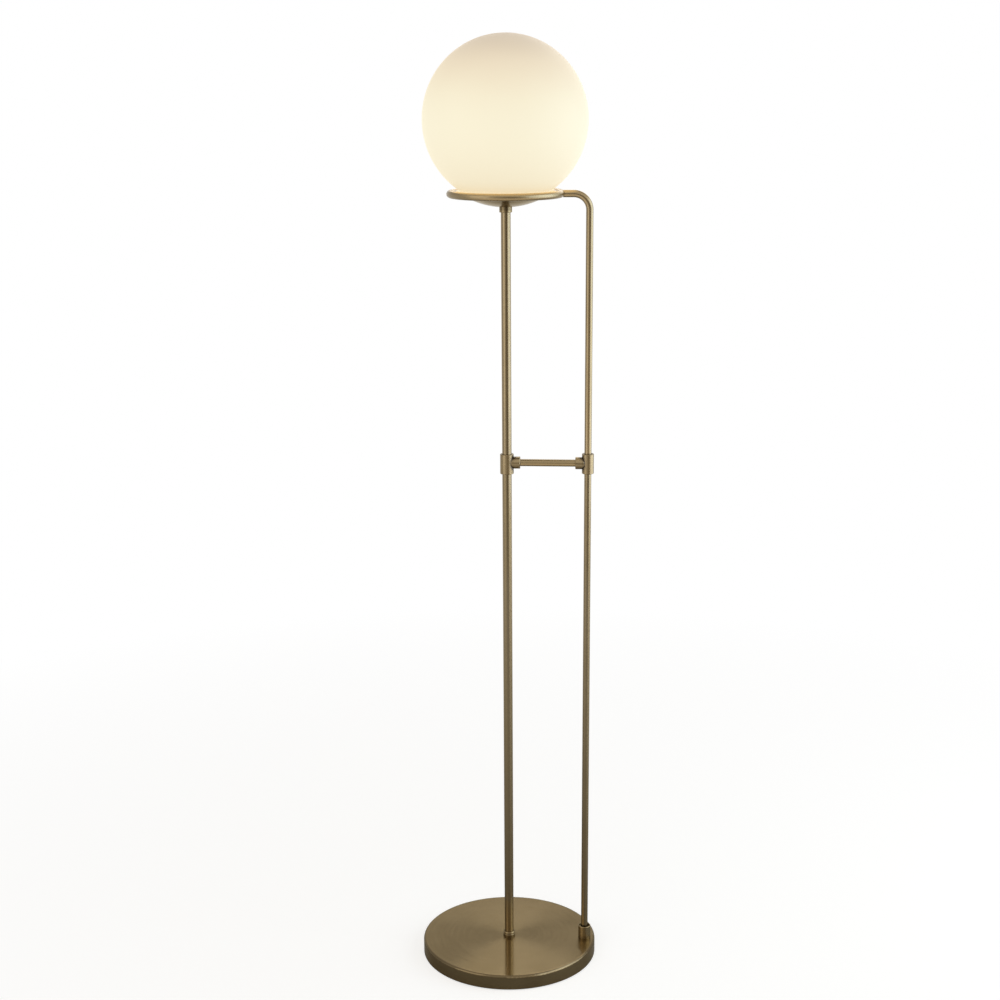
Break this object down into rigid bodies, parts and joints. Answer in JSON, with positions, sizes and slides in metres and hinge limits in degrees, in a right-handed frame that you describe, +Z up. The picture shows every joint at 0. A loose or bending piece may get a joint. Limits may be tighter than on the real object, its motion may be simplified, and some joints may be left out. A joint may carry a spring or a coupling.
{
  "type": "floor lamp",
  "caption": "Globe floor lamp: opal glass ball in a brass dish and ring on a slim pole, with a thinner side rod, a cross bar and a round weighted base.",
  "frame": {"origin": "on the floor, on the main pole's axis, at the middle of the underside of the base", "axes": "+Z up along the main pole, +X towards the side rod, +Y towards the back, where the cord inlet is"},
  "size_m": [0.29, 0.2916, 1.495],
  "materials": {
    "antique_brass": "antique, brushed and lacquered",
    "plain_brass": "machined, unlacquered",
    "zinc_steel": "zinc plated",
    "nickel_plate": "nickel plated sheet",
    "cast_weight": "rough cast, black paint",
    "felt": "pressed felt",
    "opal_glass": "satin opal, lit from inside",
    "silicone": "matt",
    "holder_plastic": "moulded, satin",
    "holder_ceramic": "unglazed",
    "bulb_plastic": "moulded, satin",
    "bulb_glass": "black fused insulator",
    "bulb_light": "frosted, lit",
    "board": "white solder mask",
    "bush_plastic": "moulded, satin"
  },
  "bodies": {
    "stand": {"base_pad": "felt", "base_weight": "cast_weight", "base_cover": "antique_brass", "cord_bush": "bush_plastic", "foot_nipple": "zinc_steel", "foot_washer": "zinc_steel", "foot_nut": "zinc_steel", "foot_collar": "antique_brass", "side_socket": "antique_brass", "side_screw": "zinc_steel", "side_screw_washer": "zinc_steel", "pole_lower": "antique_brass", "pole_upper": "antique_brass", "pole_insert_foot": "plain_brass", "pole_insert_below_tee": "plain_brass", "pole_insert_above_tee": "plain_brass", "pole_insert_top": "plain_brass", "joint_nipple": "zinc_steel", "main_tee": "antique_brass", "side_tee": "antique_brass", "cross_bar": "antique_brass", "cross_bar_studs": "zinc_steel", "side_rod_lower": "antique_brass", "side_rod_upper": "antique_brass", "side_rod_stud": "zinc_steel", "ring": "antique_brass", "ring_stud": "zinc_steel", "top_collar": "antique_brass", "head_nipple": "zinc_steel", "dish": "antique_brass", "dish_washer": "zinc_steel", "dish_nut": "zinc_steel", "seat_gasket": "silicone", "holder_cap": "holder_plastic", "holder_insert": "holder_ceramic", "terminal_screws": "plain_brass", "holder_centre_contact": "plain_brass", "holder_side_contact": "plain_brass", "holder_shell": "holder_plastic"},
    "globe": {"globe_shade": "opal_glass"},
    "bulb": {"bulb_tip": "nickel_plate", "bulb_insulator": "bulb_glass", "bulb_screw_shell": "nickel_plate", "bulb_housing": "bulb_plastic", "bulb_board": "board", "bulb_diffuser": "bulb_light"}
  },
  "joints": [
    {"name": "globe_lift", "type": "slide", "parent": "stand", "child": "globe", "axis": [0, 0, 1], "range_m": [0, 0.14]},
    {"name": "bulb_unscrew", "type": "hinge", "parent": "stand", "child": "bulb", "pos_m": [0, 0, 1.2705], "axis": [0, 0, 1], "range_deg": [0, 900]}
  ]
}
